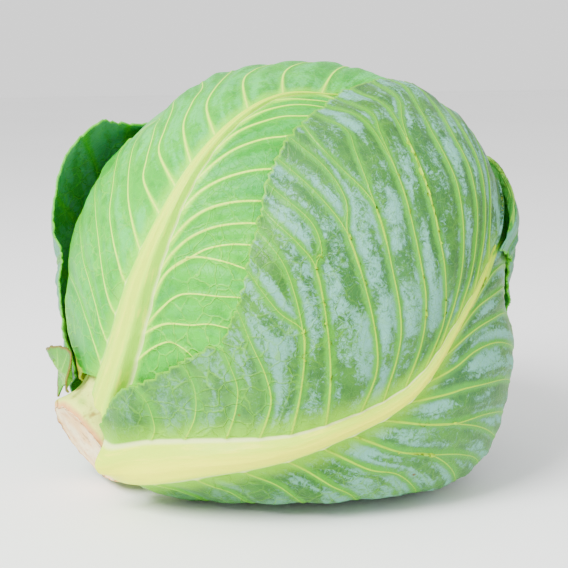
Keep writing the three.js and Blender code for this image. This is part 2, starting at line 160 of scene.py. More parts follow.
class Paint:
    """A material for one finish, with short ways to add and join its nodes."""

    def __init__(self, name):
        self.material = bpy.data.materials.new(name)
        self.material.use_nodes = True
        self.tree = self.material.node_tree
        self.shader = self.tree.nodes["Principled BSDF"]
        self.place = self.add("ShaderNodeTexCoord").outputs["Object"]

    def add(self, kind, inputs=None, **settings):
        made = self.tree.nodes.new(kind)
        for key, value in settings.items():
            setattr(made, key, value)
        for key, value in (inputs or {}).items():
            if isinstance(value, bpy.types.NodeSocket):
                self.tree.links.new(value, made.inputs[key])
            else:
                made.inputs[key].default_value = value
        return made

    def measure(self, key):
        return self.add("ShaderNodeAttribute", attribute_name=key).outputs["Fac"]

    def math(self, kind, a, b):
        return self.add("ShaderNodeMath", {0: a, 1: b}, operation=kind).outputs[0]

    def times(self, *values):
        product = values[0]
        for value in values[1:]:
            product = self.math("MULTIPLY", product, value)
        return product

    def band(self, value, low, high, start=0.0, end=1.0):
        """Goes softly from start to end as the value goes from low to high."""
        inputs = {"Value": value, "From Min": low, "From Max": high, "To Min": start, "To Max": end}
        return self.add("ShaderNodeMapRange", inputs, interpolation_type="SMOOTHSTEP").outputs[0]

    def blend(self, share, under, over):
        return self.add("ShaderNodeMix", {0: share, 6: under, 7: over}, data_type="RGBA").outputs[2]

    def cloud(self, scale, detail=3.0, rough=0.55, warp=0.0, where=None):
        inputs = {"Vector": where or self.place, "Scale": scale, "Detail": detail}
        inputs |= {"Roughness": rough, "Distortion": warp}
        return self.add("ShaderNodeTexNoise", inputs).outputs[0]

    def cells(self, scale, where=None):
        """Distance to the nearest edge of a net of cells."""
        inputs = {"Vector": where or self.place, "Scale": scale, "Randomness": 0.9}
        return self.add("ShaderNodeTexVoronoi", inputs, feature="DISTANCE_TO_EDGE").outputs[0]

    def vector(self, x, y):
        return self.add("ShaderNodeCombineXYZ", {0: x, 1: y}).outputs[0]

    def finish(self, colour, rough, relief, relief_mm, glow=0.0, glow_reach=(0.003, 0.006, 0.0015)):
        """Joins colour, roughness and relief to the shader; glow is light passing under the skin."""
        shader = self.shader
        self.tree.links.new(colour, shader.inputs["Base Color"])
        if isinstance(rough, bpy.types.NodeSocket):
            self.tree.links.new(rough, shader.inputs["Roughness"])
        else:
            shader.inputs["Roughness"].default_value = rough
        bump = self.add("ShaderNodeBump", {"Strength": 1.0, "Distance": relief_mm * MM, "Height": relief})
        self.tree.links.new(bump.outputs[0], shader.inputs["Normal"])
        shader.inputs["Specular IOR Level"].default_value = 0.2
        shader.inputs["Subsurface Weight"].default_value = glow
        shader.inputs["Subsurface Radius"].default_value = glow_reach
        shader.inputs["Subsurface Scale"].default_value = 1.0
        return self.material


def settle(piece, node_name, *materials):
    """Gives a finished piece its materials and puts it in the place of its plain part."""
    for material in materials:
        piece.data.materials.append(material)
    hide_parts(node_name)
    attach(piece, "root")


HEART_GAP = 3.8
HEART_ROWS, HEART_TURNS = 200, 440
FOLD_STEP, FOLD_TURN, FOLD_TWIST = 2.6, 90, 0.9
FOLD_RIB_AT, FOLD_RIB_WIDTH = 0.45, 3.2
FOLD_VEIN_ALONG, FOLD_VEIN_ACROSS, FOLD_VEIN_WIDTH = 11, 13, 0.09
turns, angles = np.meshgrid(np.linspace(0, 360, HEART_TURNS), np.linspace(0, 180, HEART_ROWS))
heart_dirs = direction(angles, turns)
heart_spots = heart_dirs * MEAN_RADIUS
wander = rumple(heart_spots, 40, 3) * 14 + rumple(heart_spots, 9, 4) * 2.5
lap = ((turns + FOLD_TWIST * angles + wander) % FOLD_TURN) / FOLD_TURN
lap_step = lap - smooth(lap, 0.975, 1.0)
from_fold_rib = (lap - FOLD_RIB_AT) * FOLD_TURN * np.sin(np.radians(angles))
fold_vein = angles / FOLD_VEIN_ALONG + np.abs(from_fold_rib) / FOLD_VEIN_ACROSS
fold_vein = (fold_vein + 0.25 * rumple(heart_spots, 30, 6)) % 1
fold_rib = np.exp(-((from_fold_rib / FOLD_RIB_WIDTH) ** 2))
ridge = np.exp(-((np.minimum(fold_vein, 1 - fold_vein) / FOLD_VEIN_WIDTH) ** 2))
ridge = ridge * smooth(np.abs(from_fold_rib), 2, 6)
heart_radius = form_radius(heart_dirs) - HEART_GAP - FOLD_STEP * lap_step
heart_radius += 0.5 * rumple(heart_spots, 16, 5) + fold_rib + 0.5 * ridge
measures = {"lap": lap, "fold_rib": fold_rib, "fold_ridge": ridge}
heart = grid_piece("heart_packed", heart_dirs * heart_radius[..., None], measures)

paint = Paint("heart_leaf")
lap_share = paint.measure("lap")
vein_net = paint.band(paint.cells(130.0), 0.0, 0.07, 1.0, 0.0)
pale = paint.blend(paint.cloud(34.0), tone("68c848"), tone("a0e060"))
pale = paint.blend(paint.band(lap_share, 0.0, 0.5, 0.6, 0.0), pale, tone("48a438"))
pale = paint.blend(paint.times(vein_net, 0.45), pale, tone("c8f080"))
pale = paint.blend(paint.band(paint.measure("fold_ridge"), 0.4, 0.9), pale, tone("e0f488"))
pale = paint.blend(paint.band(paint.measure("fold_rib"), 0.35, 0.8), pale, tone("f0f890"))
pale = paint.blend(paint.band(lap_share, 0.93, 0.97), pale, tone("d8f090"))
settle(heart, "heart", paint.finish(pale, 0.42, vein_net, 0.3, glow=0.12))

# Stump
# The stalk of the cabbage, sawn through a little askew close under the head. The cut face is dry,
# creamy and fibrous with a darker core ring, and a thin skin stands up as a broken rim round it.
STUMP_RADIUS = 19.0
STUMP_FOOT, STUMP_CUT = 84.0, 104.0
STUMP_SKEW = math.tan(math.radians(-9))
STUMP_TURNS, FACE_RINGS, SIDE_RINGS = 260, 44, 40
FACE_REACH, FACE_DISH = 0.93, 1.1
rim_turns = np.linspace(0, 2 * math.pi, STUMP_TURNS)
ring = np.stack([np.cos(rim_turns), np.sin(rim_turns), np.zeros(STUMP_TURNS)], axis=-1)
rim = ring * STUMP_RADIUS
scarred = 1 - 0.05 * np.maximum(0, np.cos(3 * rim_turns + 0.6)) ** 2 + 0.02 * rumple(rim, 7, 2)
chip = 0.8 * rumple(rim, 3.2, 11) + 0.4 * rumple(rim, 1.4, 12)
stump_points, stump_parts = [], []


def stump_ring(radius, level, part):
    up, front = radius * ring[:, 0], radius * ring[:, 1]
    skewed = level + front * STUMP_SKEW * smooth(level, STUMP_FOOT + 4, STUMP_CUT - 4)
    stump_points.append(up[:, None] * TO_TOP + front[:, None] * TO_FRONT + skewed[:, None] * TO_STUMP)
    stump_parts.append(np.full(STUMP_TURNS, part))


for share in np.linspace(0, FACE_REACH, FACE_RINGS):
    radius = share * STUMP_RADIUS * scarred
    spot = ring * radius[:, None]
    dents = 0.4 * rumple(spot, 5, 8) + 0.25 * rumple(spot, 1.6, 9)
    stump_ring(radius, STUMP_CUT - FACE_DISH * (1 - share**2) + dents, share)
for step in np.linspace(0, 1, SIDE_RINGS):
    bulge = 1 - 0.10 * (1 - smooth(step, 0.0, 0.12)) ** 2 + 0.035 * math.sin(11 * step) * (1 - step)
    level = STUMP_CUT + chip * (1 - smooth(step, 0.0, 0.1)) - step * (STUMP_CUT - STUMP_FOOT)
    spot = np.stack([rim[:, 0], rim[:, 1], level], axis=-1)
    rough = 0.5 * rumple(spot, 6, 4) + 0.25 * rumple(spot, 2, 6)
    spread = bulge + 0.2 * smooth(step, 0.55, 1.0)
    stump_ring(STUMP_RADIUS * scarred * spread + rough * smooth(step, 0.05, 0.3), level, 1.0 + step)
stump_ring(np.zeros(STUMP_TURNS), STUMP_FOOT, 2.0)
stump = grid_piece("stump_cut", np.array(stump_points), {"part": np.array(stump_parts)})

paint = Paint("stump_stalk")
part = paint.measure("part")
fibre, patches = paint.cloud(420.0, 4.0, 0.7), paint.cloud(95.0)
face = paint.blend(paint.band(patches, 0.35, 0.65), tone("f8d090"), tone("fff0c0"))
face = paint.blend(paint.band(fibre, 0.5, 0.72, 0.0, 0.5), face, tone("c88850"))
core = paint.math("SUBTRACT", paint.band(part, 0.60, 0.70), paint.band(part, 0.72, 0.84))
face = paint.blend(paint.times(core, 0.28), face, tone("c98350"))
side = paint.blend(paint.band(patches, 0.4, 0.6), tone("a8d048"), tone("dce868"))
side = paint.blend(paint.band(fibre, 0.55, 0.75, 0.0, 0.5), side, tone("8c8c30"))
skin = paint.blend(paint.band(part, 1.02, 1.12), tone("e0a868"), side)
stalk = paint.blend(paint.band(part, 0.93, 1.0), face, skin)
brown = paint.band(paint.cloud(160.0, 2.0), 0.62, 0.72)
stalk = paint.blend(paint.times(brown, 0.7), stalk, tone("8c5a2c"))
settle(stump, "stump", paint.finish(stalk, 0.75, fibre, 0.5, 0.1, (0.006, 0.004, 0.002)))

# Inner leaf
# The deepest of the loose outer leaves, laid on the back of the head with its rib from the stump
# to the crown. Like every outer leaf it is one thin blade, stiffened by a rib and by veins.
BLADE = 0.8
LAYER_PITCH = 3.1
SHOULDER_FROM, SHOULDER_TO = 4, 24
SHOULDER_GROWTH, SHOULDER_NARROWEST = 1.4, 0.3
STUMP_GAP = 0.2
VEIN_LEAVES_AT = math.radians(42)
VEIN_CURVE, VEIN_HEIGHT = 0.3, 0.7
TIP_VEINS_FROM = 0.82
PATH_STEPS, VEIN_STEPS = 80, 900
NET_SIZE = 6.0


class Curve:
    """A smooth curve through points on a leaf's plan, followed by the share of its length."""

    def __init__(self, points):
        t = np.linspace(0, len(points) - 1, 400)
        i = np.minimum(t.astype(int), len(points) - 2)
        w = (t - i)[:, None]
        p0, p1 = points[np.maximum(i - 1, 0)], points[i]
        p2, p3 = points[i + 1], points[np.minimum(i + 2, len(points) - 1)]
        v0, v1 = (p2 - p0) / 2, (p3 - p1) / 2
        cubic, square = 2 * p1 - 2 * p2 + v0 + v1, 3 * p2 - 3 * p1 - 2 * v0 - v1
        self.points = cubic * w**3 + square * w**2 + v0 * w + p1
        steps = np.linalg.norm(np.diff(self.points, axis=0), axis=1)
        self.walked = np.concatenate([[0], np.cumsum(steps)])
        self.length = self.walked[-1]
        headings = np.gradient(self.points, axis=0)
        self.headings = headings / np.linalg.norm(headings, axis=1)[:, None]

    def follow(self, values, share):
        at = np.clip(share, 0, 1) * self.length
        return np.stack([np.interp(at, self.walked, values[:, k]) for k in (0, 1)], axis=-1)

    def at(self, share):
        return self.follow(self.points, share)

    def heading(self, share):
        heading = self.follow(self.headings, share)
        return heading / np.linalg.norm(heading, axis=-1)[..., None]

    def share_nearest(self, point):
        return self.walked[np.argmin(np.linalg.norm(self.points - point, axis=1))] / self.length


class Leaf:
    """A leaf's plan, laid flat round the leaf's own centre on the head, in radians of arc.

    Points are given as an angle from the stump and a turn. The low side lies at the smaller turns.
    Its veins are either a count of even ones, or the courses of single ones from rib to margin.
    """

    def __init__(self, centre, rib, tip, low, high, rib_width, rib_height, veins, rib_taper=1.6, ease=0):
        self.out = direction(*centre)
        self.along = direction(centre[0] + 90, centre[1])
        self.across = np.cross(self.along, self.out)
        self.rib = Curve(self.plan(rib))
        self.margins = {"low": Curve(self.plan([*low, tip])), "high": Curve(self.plan([*high, tip]))}
        self.rib_width, self.rib_height, self.rib_taper = rib_width, rib_height, rib_taper
        self.ease = ease
        shares = np.linspace(0, 1, 91)
        there, back_again = self.margins["low"].at(shares), self.margins["high"].at(shares)[::-1]
        self.outline = np.concatenate([there, back_again])
        self.outline_dirs = self.direction(self.outline)
        self.rib_shares = np.linspace(0, 1, 61)
        self.rib_dirs = self.direction(self.rib.at(self.rib_shares))
        self.veins = {side: self.courses(side, veins[side]) for side in ("low", "high")}

    def plan(self, points):
        points = np.array(points, float)
        return self.point(direction(points[:, 0], points[:, 1]))

    def point(self, dirs):
        arc = np.arccos(np.clip(dirs @ self.out, -1, 1))
        flat = np.stack([dirs @ self.along, dirs @ self.across], axis=-1)
        return flat * (arc / np.maximum(np.linalg.norm(flat, axis=-1), 1e-9))[..., None]

    def direction(self, points):
        arc = np.linalg.norm(points, axis=-1)[..., None]
        unit = points / np.maximum(arc, 1e-9)
        sideways = unit[..., :1] * self.along + unit[..., 1:] * self.across
        return np.cos(arc) * self.out + np.sin(arc) * sideways

    def half_width(self, share):
        return self.rib_width / 2 * (1 - share) ** self.rib_taper + 0.9

    def height(self, share):
        return self.rib_height * (1 - share) ** 1.3 + 0.5

    def across_rib(self, side, share):
        """The way out from the rib on one side, which leans over forwards near the tip."""
        along = self.rib.heading(share)
        across = np.stack([-along[..., 1], along[..., 0]], axis=-1) * (1 if side == "high" else -1)
        lean = ((1 - smooth(share, TIP_VEINS_FROM, 1)) * math.pi / 2)[..., None]
        return np.cos(lean) * along + np.sin(lean) * across

    def foot(self, side, share):
        """The edge of the rib at a share of its length."""
        half = self.half_width(share) / MEAN_RADIUS
        return self.rib.at(share) + self.across_rib(side, share) * half[..., None]

    def even_course(self, side, share, margin_share):
        share = np.array(share, float)
        foot, end = self.foot(side, share), self.margins[side].at(margin_share)
        along = self.rib.heading(share)
        across = np.array([-along[1], along[0]]) * (1 if side == "high" else -1)
        leave = min(VEIN_LEAVES_AT, (1 - smooth(share, TIP_VEINS_FROM, 1)) * math.pi / 2)
        reach = np.linalg.norm(end - foot) * VEIN_CURVE
        control = foot + (math.cos(leave) * along + math.sin(leave) * across) * reach
        w = np.linspace(0, 1, 9)[:, None]
        return (1 - w) ** 2 * foot + 2 * w * (1 - w) * control + w**2 * end

    def courses(self, side, veins):
        """Every side vein as its share of the rib, its share of the margin, and its course."""
        found = []
        if isinstance(veins, int):
            for k in range(1, veins + 1):
                share = k / (veins + 1)
                margin_share = 1 - (1 - share) ** 1.3
                course = self.even_course(side, share, margin_share)
                found.append((share, margin_share, Curve(course), 0))
            return found
        before = []
        for points in veins:
            shared = sum(1 for a, b in zip(points, before) if a == b)
            before = points
            course = self.plan(points)
            share = self.rib.share_nearest(course[0])
            margin_share = self.margins[side].share_nearest(course[-1])
            course[0] = self.foot(side, np.array(share))
            course[-1] = self.margins[side].at(margin_share)
            curve = Curve(course)
            fork = curve.share_nearest(course[shared - 1]) if shared > 1 else 0
            found.append((share, margin_share, curve, fork))
        return found

    def room(self, dirs, slack=1.0):
        """The room this leaf takes under the next ones, with a soft shoulder as wide as the slack."""
        flat_dirs = dirs.reshape(-1, 3)
        flat_points = self.point(flat_dirs)
        inside = np.zeros(len(flat_points), bool)
        px, py = flat_points[:, 0], flat_points[:, 1]
        for (ax, ay), (bx, by) in zip(self.outline, np.roll(self.outline, 1, axis=0)):
            if ay != by:
                crosses = (ay > py) != (by > py)
                inside ^= crosses & (px < (bx - ax) * (py - ay) / (by - ay) + ax)
        nearest = np.arccos(np.clip((flat_dirs @ self.outline_dirs.T).max(axis=1), -1, 1)) * MEAN_RADIUS
        outside = np.where(inside, -nearest, nearest)
        from_stump = np.arccos(np.clip(flat_dirs @ TO_STUMP, -1, 1))
        spread = np.clip(SHOULDER_GROWTH * np.sin(from_stump), SHOULDER_NARROWEST, 1)
        start, end = SHOULDER_FROM * slack, SHOULDER_TO * slack
        cover = 1 - smooth(outside / spread, start, end)
        away = np.arccos(np.clip(flat_dirs @ self.rib_dirs.T, -1, 1)) * MEAN_RADIUS
        left = 1 - self.rib_shares
        beside = (away - self.rib_width / 2 * left**0.75 - 0.9) / spread[:, None]
        shoulder = 1 - smooth(beside, start, end)
        rib_room = ((self.rib_height * left**0.8 + 0.5) * shoulder).max(axis=1)
        return (cover * (LAYER_PITCH + rib_room)).reshape(dirs.shape[:-1])


def loft_rows(leaf, side, row_count):
    """Rows from the rib to the margin, lofted between the side veins and closest beside them."""
    ends = [(0.0, 0.0, Curve(leaf.even_course(side, 0.0, 0.0)), 0)]
    ends += leaf.veins[side]
    ends += [(1.0, 1.0, Curve(leaf.even_course(side, 1.0, 1.0)), 0)]
    rib_stops = np.maximum.accumulate([e[0] for e in ends])
    margin_stops = np.maximum.accumulate([e[1] for e in ends])
    steps = np.linspace(0, 1, PATH_STEPS)
    paths = []
    for _, _, curve, fork in ends:
        if not fork:
            paths.append(curve.at(steps))
            continue
        before = paths[-1]
        meet = curve.at(np.array(fork))
        joint = int(np.argmin(np.linalg.norm(before - meet, axis=1)))
        rest = curve.at(np.linspace(fork, 1, PATH_STEPS - joint))
        paths.append(np.concatenate([before[:joint], rest]))
    paths = np.array(paths)
    room = np.diff(rib_stops) * leaf.rib.length + np.diff(margin_stops) * leaf.margins[side].length
    weight = room / room.sum() + 0.35 / len(room)
    counts = np.maximum(3, np.round(weight / weight.sum() * row_count)).astype(int)
    while counts.sum() != row_count:
        counts[np.argmax(counts)] += 1 if counts.sum() < row_count else -1
    rows, rib_share, margin_share = [], [], []
    for k, count in enumerate(counts):
        even = np.arange(count + (k == len(counts) - 1)) / count
        for f in even - 0.6 * np.sin(2 * math.pi * even) / (2 * math.pi):
            rows.append((1 - f) * paths[k] + f * paths[k + 1])
            rib_share.append((1 - f) * rib_stops[k] + f * rib_stops[k + 1])
            margin_share.append((1 - f) * margin_stops[k] + f * margin_stops[k + 1])
    return np.array(rows), np.array(rib_share), np.array(margin_share)


def clear_of_stump(dirs):
    """Keeps the foot of a leaf just clear of the stump."""
    least = np.arcsin((STUMP_RADIUS + STUMP_GAP) / form_radius(dirs))
    over = np.arccos(np.clip(dirs @ TO_STUMP, -1, 1)) - least
    wanted = least + 0.5 * (over + np.hypot(over, math.radians(1.2)))
    sideways = dirs - (dirs @ TO_STUMP)[..., None] * TO_STUMP
    sideways /= np.linalg.norm(sideways, axis=-1)[..., None]
    return np.cos(wanted)[..., None] * TO_STUMP + np.sin(wanted)[..., None] * sideways


def leaf_side(leaf, side, rows, rib_columns, blade_columns, shape):
    """One side of a leaf as a grid on its plan, from the middle of the rib to the margin."""
    courses, rib_share, margin_share = rows[side]
    sign = 1 if side == "high" else -1
    x = np.linspace(0, 1, rib_columns)
    t = np.linspace(0, 1, blade_columns + 1)[1:]
    t = t - 0.1 * np.sin(2 * math.pi * t) / (2 * math.pi)
    shared = (rows["low"][1] + rows["high"][1]) / 2
    s = shared[:, None] + (rib_share - shared)[:, None] * smooth(x, 0.2, 1)[None, :]
    half = leaf.half_width(s) / MEAN_RADIUS
    rib_points = leaf.rib.at(s) + leaf.across_rib(side, s) * (x[None, :] * half)[..., None]
    foot = rib_points[:, -1]
    end = leaf.margins[side].at(margin_share)
    steps = np.linspace(0, 1, PATH_STEPS)
    blade = np.array([[np.interp(t, steps, row[:, k]) for k in (0, 1)] for row in courses])
    blade = blade.transpose(0, 2, 1)
    w = t[None, :, None]
    blade = blade + (1 - w) * (foot - courses[:, 0])[:, None] + w * (end - courses[:, -1])[:, None]
    margin_mm = margin_share * leaf.margins[side].length * MEAN_RADIUS
    line = np.stack([margin_mm, 0 * margin_mm + 40 * sign], axis=-1)
    beat = margin_mm / shape.get("tooth_pitch", 4.2) + 0.9 * rumple(line, 9, 34)
    tooth = shape.get("tooth", 0.8) * (0.5 - (beat % 1) ** 1.5) * (1 + 0.8 * rumple(line, 12, 35))
    tooth = tooth + 1.4 * rumple(line, 13, 32) + 0.7 * rumple(line, 5, 31)
    tooth = tooth * (1 - smooth(rib_share, 0.9, 1))
    outwards = end - blade[:, -4]
    outwards /= np.maximum(np.linalg.norm(outwards, axis=-1), 1e-6)[:, None]
    pull = smooth(w, 1 - 6 / blade_columns, 1)
    blade = blade + (outwards * (tooth / MEAN_RADIUS)[:, None])[:, None] * pull
    points = np.concatenate([rib_points, blade], axis=1)
    shape_2d = points.shape[:2]
    away = np.linalg.norm(blade - foot[:, None], axis=-1) / half[:, -1:]
    tree = kdtree.KDTree(len(leaf.veins[side]) * VEIN_STEPS)
    widths = []
    for share, _, course, _ in leaf.veins[side]:
        shares = np.linspace(0, 1, VEIN_STEPS)
        length = course.length * MEAN_RADIUS
        half_vein = shape.get("vein_width", 0.46) * (0.25 + 0.75 * (1 - shares) ** 1.2)
        half_vein = half_vein + shape.get("vein_flare", 0.7) * np.exp(-shares * length / 6)
        half_vein = half_vein * np.clip(length / 45, 0.45, 1) * (0.55 + 0.45 * smooth(share, 0.1, 0.45))
        for point, width in zip(course.at(shares) * MEAN_RADIUS, half_vein):
            tree.insert((point[0], point[1], 0), len(widths))
            widths.append(width)
    tree.balance()
    found = [tree.find((p[0], p[1], 0)) for p in (points * MEAN_RADIUS).reshape(-1, 2).tolist()]
    to_vein = np.array([f[2] for f in found]).reshape(shape_2d)
    vein_half = np.array([widths[f[1]] for f in found]).reshape(shape_2d)
    return {
        "plan": points,
        "x": np.concatenate([np.broadcast_to(x, s.shape), 1 + away], axis=1),
        "t": np.broadcast_to(np.concatenate([np.zeros(rib_columns), t]), shape_2d),
        "s": np.concatenate([s, np.broadcast_to(rib_share[:, None], away.shape)], axis=1),
        "from_edge": np.linalg.norm(points - points[:, -1:], axis=-1) * MEAN_RADIUS,
        "from_rib": np.concatenate([0 * s, away * half[:, -1:] * MEAN_RADIUS], axis=1),
        "margin": np.broadcast_to(margin_mm[:, None], shape_2d),
        "to_vein": to_vein,
        "vein_half": vein_half,
        "sign": np.full(shape_2d, float(sign)),
    }


def lay_leaf(name, leaf, below, row_count, blade_columns, shape, rib_columns=13):
    """The leaf as a thin blade on the head, over the leaves below it."""
    rows = {side: loft_rows(leaf, side, row_count) for side in ("low", "high")}
    low = leaf_side(leaf, "low", rows, rib_columns, blade_columns, shape)
    high = leaf_side(leaf, "high", rows, rib_columns, blade_columns, shape)
    g = {key: np.concatenate([low[key][:, :0:-1], high[key]], axis=1)[:, ::-1] for key in low}
    dirs = clear_of_stump(leaf.direction(g["plan"]))
    base = form_radius(dirs) + leaf.ease + sum(other.room(dirs) for other in below)
    if "hugs" in shape:
        drop = shape["hugs"].room(dirs) - shape["hugs"].room(dirs, 0.3)
        base = base - drop * (1 - smooth(g["from_edge"], 2, 26))
    flat = g["plan"] * MEAN_RADIUS
    x, t, s, sign = g["x"], g["t"], g["s"], g["sign"]
    off_rib = smooth(x, 1.0, 1.6)
    near_margin = 1 - smooth(g["from_edge"], 0, 14)
    face = 0.5 * (1 + np.cos(math.pi * np.clip(x, 0, 1) ** shape.get("rib_square", 1.6)))
    flutes = shape.get("flute", 0.22) * np.cos(sign * x * 10 + 0.6) * face * (1 - s)
    ridge = np.exp(-((g["to_vein"] / (g["vein_half"] + 0.45)) ** 2)) * smooth(x, 0.6, 1.2)
    quilt = smooth(g["to_vein"], 0.6, 6.5) * off_rib * (1 - 0.6 * near_margin)
    relief = leaf.height(s) * face + flutes
    relief = relief + VEIN_HEIGHT * ridge * (1 - 0.7 * t) * (1 - near_margin**2)
    relief = relief + shape.get("quilt", 0.8) * quilt
    relief = relief + off_rib * shape.get("swell", 0.5) * (rumple(flat, 26, 41) + 0.4 * rumple(flat, 9, 42))
    line = np.stack([g["margin"], sign * 50.0], axis=-1)
    wave = rumple(line, 11, 51) + 0.35 * rumple(line, 4, 52)
    lifted = shape["lift"](g) if "lift" in shape else np.zeros(x.shape)
    held = near_margin * (1 - np.clip(lifted / 3, 0, 1))
    relief = relief + lifted + shape.get("ruffle", 0.9) * wave * near_margin**2
    relief = relief - shape.get("press", 1.2) * held
    points = dirs * (base + BLADE + relief)[..., None]
    points[..., 2] = np.maximum(points[..., 2], shape.get("floor", 0.0) - MIDDLE[2])
    measures = {
        "rib_x": np.clip(x, 0, 3) * sign,
        "rib_share": s,
        "from_rib": g["from_rib"],
        "outwards": t,
        "to_vein": g["to_vein"],
        "vein_half": g["vein_half"],
        "from_edge": g["from_edge"],
        "lane": g["margin"],
        "plan_x": flat[..., 0],
        "plan_y": flat[..., 1],
    }
    piece = grid_piece(name, points, measures)
    pick(piece)
    wall = piece.modifiers.new("wall", "SOLIDIFY")
    wall.thickness = BLADE * MM
    wall.offset = -1
    wall.material_offset = 1
    bpy.ops.object.modifier_apply(modifier=wall.name)
    return piece


